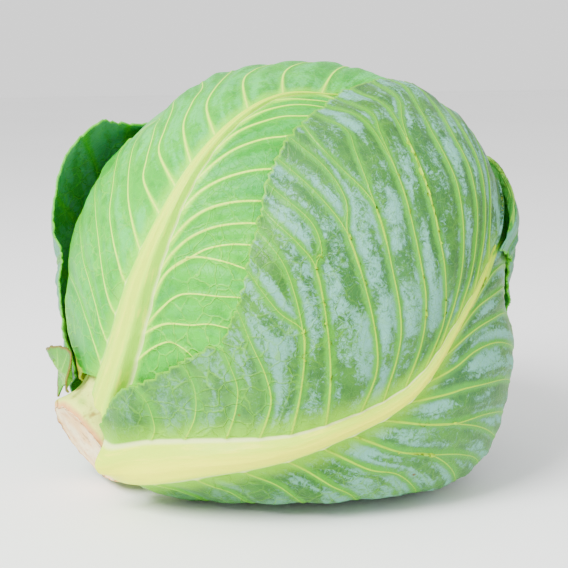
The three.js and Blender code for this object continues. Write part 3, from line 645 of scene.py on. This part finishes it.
def leaf_outside(name, look):
    """The back of a cabbage leaf: rib, side veins, net, waxy bloom rubbed off in places, pale rim."""
    paint = Paint(name)
    side = paint.measure("rib_x")
    rib_x = paint.math("ABSOLUTE", side, 0.0)
    rib_share, from_rib = paint.measure("rib_share"), paint.measure("from_rib")
    to_vein, vein_half = paint.measure("to_vein"), paint.measure("vein_half")
    edge = paint.measure("from_edge")
    plan = paint.vector(paint.measure("plan_x"), paint.measure("plan_y"))
    drift = paint.add("ShaderNodeTexNoise", {"Vector": plan, "Scale": 0.12, "Detail": 3.0}).outputs["Color"]
    bent = paint.add("ShaderNodeVectorMath", {0: drift, "Scale": 6.0}, operation="SCALE").outputs[0]
    bent = paint.add("ShaderNodeVectorMath", {0: plan, 1: bent}, operation="ADD").outputs[0]
    streaky = paint.vector(paint.times(paint.measure("lane"), 0.16), paint.times(from_rib, 0.05))
    off_rib = paint.band(rib_x, 1.0, 1.25)
    on_rib = paint.band(rib_x, 0.85, 1.08, 1.0, 0.0)
    base_end = paint.band(rib_share, 0.2, 0.5, 1.0, 0.25)
    coarse_net = paint.band(paint.cells(1 / NET_SIZE, bent), 0.0, 0.075, 1.0, 0.0)
    faint = paint.band(paint.cloud(50.0, 2.0), 0.3, 0.6, 0.2, 1.0)
    coarse_net = paint.times(coarse_net, base_end, off_rib, faint)
    fine_net = paint.times(paint.band(paint.cells(3.0 / NET_SIZE, bent), 0.0, 0.08, 1.0, 0.0), off_rib)
    vein_share = paint.math("DIVIDE", to_vein, vein_half)
    vein = paint.band(vein_share, 0.35, 1.15, 1.0, 0.0)
    ragged = {0: paint.cloud(260.0, 4.0, 0.65), 1: 3.0, 2: -1.5}
    ragged = paint.add("ShaderNodeMath", ragged, operation="MULTIPLY_ADD").outputs[0]
    border_mm = look.get("border_mm", 1.3)
    border = paint.band(paint.math("ADD", to_vein, ragged), border_mm - 0.6, border_mm + 1.2, 1.0, 0.0)
    drifts = paint.band(paint.cloud(26.0), 0.35, 0.65)
    green = paint.blend(drifts, tone(look["blade"]), tone(look["blade_light"]))
    mottle = paint.band(paint.cloud(190.0, 5.0, 0.65), 0.45, 0.62, 0.0, 0.5)
    green = paint.blend(mottle, green, tone(look["deep"]))
    # Painted shade: the blade darkens towards the far end of the rib, the side turned away from the key
    # light.
    far_end_painted_shade = paint.band(rib_share, 0.35, 0.85, 0.0, look.get("far", 0.0))
    green = paint.blend(far_end_painted_shade, green, tone(look["deep"]))
    green = paint.blend(paint.times(border, look.get("border", 0.6)), green, tone(look["border_tone"]))
    lanes = paint.cloud(1.0, 3.0, 0.55, 0.4, streaky)
    patches = paint.cloud(40.0, 4.0, 0.6, 0.6)
    flecks = paint.cloud(420.0, 5.0, 0.8, 1.5)
    wax = paint.math("ADD", paint.times(lanes, 0.55), paint.times(patches, 0.45))
    wax = paint.math("ADD", wax, paint.times(flecks, 0.5))
    start = look.get("bloom_from", 0.66)
    wax = paint.band(wax, start, start + 0.11)
    scratches = paint.band(paint.cells(0.42, bent), 0.0, 0.035, 1.0, 0.0)
    scratched = paint.times(scratches, paint.band(paint.cloud(55.0), 0.48, 0.58))
    unworn = paint.math("SUBTRACT", 1.0, paint.math("MAXIMUM", border, scratched))
    low_side = paint.band(side, -1.3, 1.0, look.get("low_bloom", 1.0), 1.0)
    young = paint.band(rib_share, 0.1, 0.42, look.get("young_bloom", 0.4), 1.0)
    bloom = paint.times(wax, unworn, off_rib, look.get("bloom", 0.8), low_side, young)
    bloom = paint.math("MINIMUM", bloom, 1.0)
    colour = paint.blend(bloom, green, tone(look["bloom_tone"]))
    haze = paint.band(paint.cloud(16.0, 3.0), 0.35, 0.7, look.get("haze", 0.2) * 0.3, look.get("haze", 0.2))
    colour = paint.blend(paint.times(haze, off_rib, low_side), colour, tone(look["bloom_tone"]))
    colour = paint.blend(paint.times(coarse_net, look.get("coarse", 0.6)), colour, tone(look["net_tone"]))
    colour = paint.blend(paint.times(fine_net, look.get("fine", 0.18)), colour, tone(look["net_tone"]))
    beside = paint.band(from_rib, 0.0, look.get("beside_mm", 7.0), look.get("beside", 0.75), 0.0)
    beside = paint.times(beside, paint.band(rib_share, 0.8, 1.0, 1.0, 0.0))
    colour = paint.blend(beside, colour, tone(look["beside_tone"]))
    vein_tone = paint.blend(paint.band(to_vein, 0.1, 0.5), tone(look["vein_light"]), tone(look["vein"]))
    shown = paint.band(paint.measure("outwards"), 0.3, 1.0, 0.9, look.get("vein_end", 0.55))
    colour = paint.blend(paint.times(vein, shown), colour, vein_tone)
    streak_place = paint.vector(paint.times(rib_share, 9.0), paint.times(side, 3.2))
    streaks = paint.cloud(1.6, 4.0, 0.65, 0.2, streak_place)
    rib_tone = paint.blend(paint.band(rib_x, 0.15, 0.7), tone(look["rib_middle"]), tone(look["rib"]))
    rib_tone = paint.blend(paint.band(streaks, 0.5, 0.66, 0.0, 0.5), rib_tone, tone(look["rib_streak"]))
    greener = paint.band(rib_share, 0.3, 0.9, 0.0, look.get("rib_end", 0.0))
    rib_tone = paint.blend(greener, rib_tone, tone(look["vein_light"]))
    # Painted highlight: a near-white line along both edges of the rib, standing for the light caught by its
    # upper edge.
    rib_edge_highlight_mask = paint.times(paint.band(rib_x, 0.82, 0.94), paint.band(rib_x, 0.98, 1.12, 1.0, 0.0))
    colour = paint.blend(on_rib, colour, rib_tone)
    colour = paint.blend(paint.times(rib_edge_highlight_mask, 0.6), colour, tone(look["rib_edge_highlight"]))
    colour = paint.blend(paint.band(edge, 0.2, 1.1, 0.8, 0.0), colour, tone(look["rim"]))
    if look.get("specks"):
        spots = {"Vector": paint.place, "Scale": 75.0, "Randomness": 1.0}
        spots = paint.add("ShaderNodeTexVoronoi", spots).outputs["Distance"]
        spotted = paint.band(paint.cloud(22.0, 1.0), 0.55, 0.6)
        spots = paint.times(paint.band(spots, 0.03, 0.07, 1.0, 0.0), spotted)
        colour = paint.blend(paint.times(spots, off_rib, look["specks"]), colour, tone("6a3c10"))
    shine = look.get("rough", 0.36)
    rough = paint.add("ShaderNodeMapRange", {"Value": bloom, "To Min": shine, "To Max": 0.62}).outputs[0]
    relief = paint.math("ADD", paint.times(coarse_net, 0.6), paint.times(fine_net, 0.16))
    relief = paint.math("ADD", relief, paint.times(paint.cloud(600.0, 3.0), 0.12))
    relief = paint.math("ADD", relief, paint.times(paint.cloud(110.0, 3.0), 0.6))
    relief = paint.math("ADD", relief, paint.times(streaks, on_rib, 0.8))
    return paint.finish(colour, rough, relief, 0.5, glow=0.12)


def leaf_inside(name, look):
    """The smooth inner side of a leaf, with its veins as fine pale lines in slight grooves."""
    paint = Paint(name)
    plan = paint.vector(paint.measure("plan_x"), paint.measure("plan_y"))
    cells = paint.cells(0.16, plan)
    colour = paint.blend(paint.cloud(60.0, 4.0), tone(look["inside"]), tone(look["inside_light"]))
    colour = paint.blend(paint.band(cells, 0.0, 0.05, 0.4, 0.0), colour, tone(look["inside_vein"]))
    on_vein = paint.band(paint.measure("to_vein"), 0.2, 0.7, 0.8, 0.0)
    colour = paint.blend(on_vein, colour, tone(look["inside_vein"]))
    rim = paint.band(paint.measure("from_edge"), 0.2, 1.4, 0.6, 0.0)
    colour = paint.blend(rim, colour, tone(look["inside_vein"]))
    return paint.finish(colour, 0.4, cells, 0.3, glow=0.15)


def dress_leaf(piece, node_name, look, finish=None):
    """Gives a leaf's two sides their finishes and settles it in the place of its plain part."""
    finish = finish or node_name
    outside, inside = leaf_outside(finish + "_outside", look), leaf_inside(finish + "_inside", look)
    settle(piece, node_name, outside, inside)


inner_leaf = Leaf(
    centre=(85, 318),
    rib=[(14, 318), (50, 320), (90, 322), (126, 325)],
    tip=(148, 325),
    low=[(14, 270), (35, 252), (60, 243), (90, 238), (118, 244), (138, 272)],
    high=[(14, 366), (35, 382), (60, 390), (90, 396), (118, 396), (140, 372)],
    rib_width=16,
    rib_height=2.4,
    veins={"low": 11, "high": 11},
)
inner_look = dict(
    blade="34a02a", blade_light="50b83c", deep="2a8424", border_tone="48ac24", bloom_tone="70cc90",
    net_tone="80d048", vein="90d840", vein_light="b8ec58", beside_tone="78d030", rib="c8e448",
    rib_middle="e8f048", rib_streak="f0f480", rib_edge_highlight="f0f6b8", rim="78c830", bloom=0.35,
    inside="207424", inside_light="2c902c", inside_vein="68bc30",
)
inner_leaf_blade = lay_leaf("inner_leaf_blade", inner_leaf, [], 130, 56, {"floor": 5})
dress_leaf(inner_leaf_blade, "inner_leaf", inner_look)

# Top leaf
# The light green leaf over the top and left of the head, its back turned outwards. Its broad
# fluted rib rises from the stump, and creamy side veins as thick as string sweep off it.
top_leaf = Leaf(
    centre=(75, 32),
    rib=[(14, 49), (32, 43), (56, 36), (82, 28), (104, 24), (124, 27)],
    tip=(143, 30),
    low=[(14, 2), (24, -20), (40, -24), (58, -17), (70, -12), (77, -3), (90, -10), (108, -20), (130, -18)],
    high=[(14, 90), (32, 94), (56, 92), (82, 86), (106, 78), (130, 62)],
    rib_width=20,
    rib_height=5.0,
    rib_taper=2.2,
    veins={
        "low": [
            [(20, 40), (26, 22), (32, 2), (36, -14), (38, -24)],
            [(28, 36), (35, 20), (41, 4), (48, -10), (52, -20)],
            [(36, 33), (44, 18), (50, 8), (57, -6), (62, -16)],
            [(44, 30), (51, 18), (54, 13), (60, 6), (68, -6), (72, -9)],
            [(52, 28), (58, 20), (63, 12), (69, 3), (75, -5)],
            [(60, 26), (64, 20), (68, 15), (73, 9), (78, 1), (79, -4)],
            [(66, 24), (71, 17), (76, 11), (82, 3), (86, -8)],
            [(72, 23), (79, 16), (85, 9), (91, 2), (97, -13)],
            [(80, 21), (86, 15), (92, 8), (100, -2), (107, -20)],
            [(90, 19), (98, 11), (106, 2), (114, -8), (120, -20)],
            [(101, 18), (109, 11), (118, 2), (126, -8), (129, -18)],
            [(112, 22), (120, 15), (128, 6), (134, -2), (136, -4)],
        ],
        "high": [
            [(24, 55), (28, 62), (31, 72), (32, 84), (32, 94)],
            [(32, 53), (39, 55), (43, 59), (45, 70), (46, 93)],
            [(38, 48), (44, 52), (49, 58), (54, 63), (60, 74), (62, 91)],
            [(40, 47), (46, 48), (52, 50), (58, 57), (64, 64), (69, 76), (72, 89)],
            [(47, 44), (53, 43), (59, 45), (63, 50), (67, 57), (73, 68), (78, 87)],
            [(47, 44), (53, 43), (59, 45), (64, 47), (70, 52), (77, 61), (84, 85)],
            [(53, 42), (58, 41), (63, 42), (69, 45), (76, 51), (83, 60), (91, 83)],
            [(59, 41), (65, 39), (71, 41), (78, 46), (86, 54), (98, 80)],
            [(66, 39), (71, 36), (77, 38), (84, 42), (92, 49), (105, 78)],
            [(73, 37), (78, 33), (84, 34), (91, 37), (99, 44), (112, 74)],
            [(80, 34), (85, 30), (91, 31), (98, 33), (106, 40), (118, 69)],
            [(88, 31), (94, 28), (101, 29), (108, 32), (116, 39), (124, 65)],
            [(98, 28), (104, 27), (111, 29), (118, 33), (126, 42), (130, 60)],
            [(110, 30), (117, 30), (124, 33), (131, 40), (135, 50)],
        ],
    },
)
top_look = dict(
    blade="149010", blade_light="38b010", deep="0c7808", border_tone="48b808", bloom_tone="58d87c",
    net_tone="78d02c", vein="8ce018", vein_light="d0f63c", beside_tone="80dc10", rib="a0e80c",
    rib_middle="d0f808", rib_streak="f0fa30", rib_edge_highlight="f0fca0", rim="70d010", bloom=0.2, low_bloom=2.0,
    bloom_from=0.72, coarse=0.6, fine=0.1, rough=0.42, haze=0.03, beside_mm=6.0, beside=0.75,
    border_mm=1.2, vein_end=0.8, inside="26a43a", inside_light="30bc38", inside_vein="80e040",
)
top_leaf_blade = lay_leaf(
    "top_leaf_blade", top_leaf, [inner_leaf], 270, 76,
    {"floor": 5, "vein_width": 0.6, "vein_flare": 1.4, "quilt": 1.0, "flute": 0.5, "rib_square": 2.4},
)
dress_leaf(top_leaf_blade, "top_leaf", top_look)

# Under leaf
# The leaf at the bottom, which carries the head: its underside is pressed to one small flat spot
# on the table. It is in the shade, and its colours are painted darker and duller than the others as painted
# shade; they are bluer too.
under_leaf = Leaf(
    centre=(80, 205),
    rib=[(14, 214), (50, 213), (90, 210), (124, 206)],
    tip=(146, 204),
    low=[(14, 166), (30, 142), (60, 124), (90, 119), (115, 126), (136, 150)],
    high=[(14, 258), (34, 274), (60, 284), (90, 287), (116, 280), (138, 258)],
    rib_width=16,
    rib_height=2.4,
    veins={"low": 12, "high": 12},
)
# Painted shade: these tones are darker and duller than the leaf's own, for the shade under the head.
shaded_under_look = dict(
    blade="22483e", blade_light="2c5448", deep="1c3c34", border_tone="386c30", bloom_tone="487474",
    net_tone="4c8c38", vein="64a430", vein_light="84b850", beside_tone="64a42c", rib="98c040",
    rib_middle="b8d450", rib_streak="c8e080", rib_edge_highlight="d0e8a0", rim="64a438", bloom=0.6,
    inside="1c6028", inside_light="2c7434", inside_vein="58a03c",
)
under_leaf_blade = lay_leaf(
    "under_leaf_blade", under_leaf, [inner_leaf, top_leaf], 130, 56, {"ruffle": 0.3, "swell": 0.3},
)
dress_leaf(under_leaf_blade, "under_leaf", shaded_under_look)

# Front leaf
# The big bluish green leaf that wraps the front and the right, back outwards. Its rib runs along
# the bottom and up the right side. Its wax bloom is rubbed through to green in many places.
front_leaf = Leaf(
    centre=(84, 96),
    rib=[(14, 97), (36, 97), (60, 103), (84, 105), (107, 97), (134, 86)],
    tip=(152, 66),
    low=[(14.5, 64), (26, 59), (42, 65), (54, 66), (68, 56), (84, 43), (103, 35), (122, 25), (141, 24)],
    high=[
        (14, 136), (30, 140), (41, 137), (52, 134), (62, 135), (75, 140), (90, 145), (100, 145),
        (109, 140), (118, 129), (127, 108), (136, 93),
    ],
    rib_width=19,
    rib_height=5.0,
    rib_taper=2.0,
    veins={
        "low": [
            [(26, 90), (29, 80), (31, 70), (31, 61)],
            [(34, 91), (39, 82), (42, 74), (42, 65)],
            [(43, 92), (48, 85), (51, 78), (52, 66)],
            [(50, 94), (55, 88), (57, 81), (58, 74), (60, 63)],
            [(56, 97), (61, 90), (66, 82), (69, 76), (67, 69), (67, 57)],
            [(56, 97), (61, 90), (66, 82), (69, 76), (72, 68), (74, 60), (74, 51)],
            [(63, 100), (69, 89), (75, 76), (79, 66), (79, 60), (78, 53), (78, 48)],
            [(63, 100), (69, 89), (75, 76), (79, 66), (82, 64), (84, 58), (83, 51), (82, 45)],
            [(71, 102), (78, 95), (82, 87), (86, 75), (89, 64), (89, 55), (88, 47), (87, 41)],
            [(71, 102), (78, 95), (82, 87), (86, 75), (89, 64), (93, 58), (94, 50), (92, 39)],
            [(77, 102), (84, 95), (89, 87), (94, 74), (98, 62), (97, 52), (96, 44), (97, 38)],
            [(77, 102), (84, 95), (89, 87), (94, 74), (98, 62), (102, 50), (104, 44), (102, 36)],
            [(83, 102), (91, 96), (97, 86), (102, 73), (107, 59), (110, 47), (110, 40), (107, 34)],
            [(83, 102), (91, 96), (97, 86), (102, 73), (107, 59), (111, 48), (114, 41), (113, 31)],
            [(89, 101), (99, 95), (104, 85), (109, 71), (114, 57), (118, 46), (120, 38), (119, 28)],
            [(89, 101), (99, 95), (104, 85), (109, 71), (114, 57), (119, 47), (125, 38), (127, 25)],
            [(95, 100), (106, 91), (112, 82), (118, 70), (122, 57), (128, 43), (133, 25)],
            [(102, 97), (112, 90), (118, 82), (124, 69), (128, 57), (134, 44), (138, 24)],
            [(110, 94), (118, 88), (124, 79), (129, 68), (134, 55), (140, 42), (143, 31)],
            [(119, 90), (126, 82), (131, 74), (137, 62), (143, 52), (147, 46)],
        ],
        "high": [
            [(22, 104), (27, 114), (30, 126), (31, 140)],
            [(33, 105), (38, 115), (41, 126), (42, 137)],
            [(43, 108), (49, 114), (52, 122), (53, 134)],
            [(52, 111), (59, 116), (63, 123), (65, 136)],
            [(60, 113), (68, 116), (74, 122), (77, 131), (77, 140)],
            [(67, 113), (76, 116), (82, 121), (86, 130), (87, 143)],
            [(67, 113), (76, 116), (82, 121), (89, 127), (93, 134), (95, 145)],
            [(75, 112), (83, 113), (90, 118), (96, 125), (100, 134), (102, 144)],
            [(75, 112), (83, 113), (90, 118), (98, 123), (104, 130), (108, 140)],
            [(83, 110), (90, 110), (97, 113), (104, 118), (110, 125), (113, 135)],
            [(90, 108), (97, 107), (104, 108), (111, 112), (116, 119), (119, 127)],
            [(97, 105), (104, 103), (111, 105), (118, 109), (122, 114), (123, 118)],
            [(103, 102), (110, 99), (117, 101), (123, 104), (126, 109)],
            [(109, 99), (115, 96), (121, 96), (127, 99), (130, 102)],
            [(116, 95), (122, 92), (128, 92), (133, 95), (134, 96)],
        ],
    },
)
front_look = dict(
    blade="2a6410", blade_light="428410", deep="1a4408", border_tone="449804", bloom_tone="68a898",
    net_tone="60a81c", vein="74ac08", vein_light="a0cc0c", beside_tone="80c404", rib="ccf008",
    # far: strength of the painted shade towards the far end of the leaf.
    rib_middle="f0fa08", rib_streak="f8fa30", rib_edge_highlight="f4fab0", rim="68b408", bloom=0.95, far=0.6,
    bloom_from=0.72, coarse=0.7, haze=0.1, beside_mm=10.0, beside=0.95, specks=0.9, border=0.95,
    rough=0.4, rib_end=0.6, inside="1c7024", inside_light="288828", inside_vein="60a830",
)
below_front = [inner_leaf, top_leaf, under_leaf]
front_leaf_blade = lay_leaf(
    "front_leaf_blade", front_leaf, below_front, 290, 72,
    {"floor": 0.8, "ruffle": 1.3, "tooth_pitch": 3.6, "tooth": 1.3, "rib_square": 2.0, "press": 1.8},
)
dress_leaf(front_leaf_blade, "front_leaf", front_look)

# Back leaf
# The outermost leaf, wrapped round the far side from the stump to the crown. Its toothed edge
# stands off the head at the left, where its darker inner side shows, and comes round at the right.
back_leaf = Leaf(
    centre=(112, 278),
    rib=[(14, 272), (50, 275), (90, 279), (128, 288), (158, 310)],
    tip=(124, 92),
    low=[
        (14, 232), (30, 229), (45, 227), (60, 226), (75, 221), (90, 214), (110, 198), (126, 176),
        (137, 150), (136, 118),
    ],
    high=[
        (14, 322), (27, 329), (45, 338), (58, 345), (70, 349), (77, 337), (96, 324), (116, 320),
        (138, 326), (162, 345), (160, 50), (147, 82),
    ],
    rib_width=17,
    rib_height=3,
    veins={"low": 13, "high": 15},
    ease=0.5,
)
FLARE_FROM, FLARE_TO, FLARE_LIFT = 0.12, 0.335, 10


def stand_off(g):
    """The free edge beside the stump curls away from the head."""
    along = np.clip((g["s"] - FLARE_FROM) / (FLARE_TO - FLARE_FROM), 0, 1)
    outwards = np.clip(2 * g["t"] - 1, 0, 1)
    return FLARE_LIFT * np.sin(math.pi * along) ** 1.3 * outwards**1.6 * (g["sign"] > 0)


back_look = dict(
    blade="286c28", blade_light="368030", deep="1c541c", border_tone="389414", bloom_tone="5c9888",
    net_tone="54a030", vein="68ac20", vein_light="90c838", beside_tone="68ac20", rib="b0d840",
    rib_middle="d0e848", rib_streak="e0ee80", rib_edge_highlight="e4f0a0", rim="5cb81c", bloom=0.7, young_bloom=1.0,
    inside="34bc34", inside_light="58d840", inside_vein="90f050",
)
below_back = [inner_leaf, top_leaf, under_leaf, front_leaf]
back_leaf_blade = lay_leaf(
    "back_leaf_blade", back_leaf, below_back, 370, 52,
    {"floor": 0.8, "lift": stand_off, "hugs": front_leaf, "tooth": 2.4, "tooth_pitch": 5.2,
     "ruffle": 0.8, "press": 2.2},
    rib_columns=11,
)
dress_leaf(back_leaf_blade, "back_leaf", back_look)

# Cut leaf base
# What is left of one more outer leaf that was trimmed off beside the stump: a short green foot
# with a dried, browned cut edge, standing a little off the leaves behind it.
leaf_base = Leaf(
    centre=(19, 336),
    rib=[(12.5, 340), (15, 340), (18, 340)],
    tip=(21, 340),
    low=[(12.5, 310), (16, 314), (20, 324)],
    high=[(12.5, 374), (16.5, 368), (20, 357)],
    rib_width=12,
    rib_height=1.4,
    veins={"low": 3, "high": 3},
)
LEAN_OUT, LEAN_FAN = 2, 0.4


def lean_out(g):
    return LEAN_OUT * (smooth(g["s"], 0, 1) + LEAN_FAN * g["t"])


base_look = dict(
    blade="3c8820", blade_light="58a028", deep="2c7018", border_tone="48941c", bloom_tone="60a040",
    net_tone="58a030", vein="64a830", vein_light="78b838", beside_tone="58a028", rib="68a82c",
    rib_middle="80b838", rib_streak="90c048", rib_edge_highlight="80b838", rim="6e4a20", bloom=0.1,
    inside="186820", inside_light="28801c", inside_vein="5c4a1c",
)
leaf_base_stub = lay_leaf(
    "cut_leaf_base_stub", leaf_base, [*below_back, back_leaf], 60, 26,
    {"floor": 8, "lift": lean_out, "tooth": 0.4, "press": 0.0, "ruffle": 0.4, "quilt": 0.3},
)
dress_leaf(leaf_base_stub, "cut_leaf_base", base_look, "cut_base")

# Table, light and camera
# A plain pale table under the head, large soft lights above and in front, and a camera at the
# photograph's angle: low, in front of the head and towards its stump end.
bpy.ops.object.select_all(action="DESELECT")
bpy.ops.mesh.primitive_plane_add(size=8, location=(0, 0, 0))
table = bpy.context.object
table.name = "table"
paint = Paint("table_white")
white = paint.blend(paint.cloud(3.0), tone("f4f4f4"), tone("fbfbfb"))
table.data.materials.append(paint.finish(white, 0.6, paint.cloud(200.0), 0.02))

world = bpy.data.worlds.new("studio")
world.use_nodes = True
world.node_tree.nodes["Background"].inputs["Color"].default_value = (1, 1, 1, 1)
world.node_tree.nodes["Background"].inputs["Strength"].default_value = 1.35
bpy.context.scene.world = world


def soft_light(name, size, power, place):
    light = bpy.data.lights.new(name, "AREA")
    light.size = size
    light.energy = power
    lamp = bpy.data.objects.new(name, light)
    lamp.location = HEAD_MIDDLE + Vector(place)
    lamp.rotation_euler = Vector(place).to_track_quat("Z", "Y").to_euler()
    bpy.context.collection.objects.link(lamp)


soft_light("key_light", 0.6, 42.0, (-0.85, -0.4, 0.85))
soft_light("fill_light", 1.0, 2.0, (0.8, -0.7, 0.35))

CAMERA_TURN, CAMERA_RISE = math.radians(-23.3), math.radians(10)
CAMERA_DISTANCE = 0.52
target = HEAD_MIDDLE + Vector((-0.0095, 0, 0.0023))
back = Vector((
    math.sin(CAMERA_TURN) * math.cos(CAMERA_RISE),
    -math.cos(CAMERA_TURN) * math.cos(CAMERA_RISE),
    math.sin(CAMERA_RISE),
))
lens = bpy.data.cameras.new("camera")
lens.lens = 85
camera = bpy.data.objects.new("camera", lens)
camera.location = target + back * CAMERA_DISTANCE
camera.rotation_euler = back.to_track_quat("Z", "Y").to_euler()
bpy.context.collection.objects.link(camera)
bpy.context.scene.camera = camera
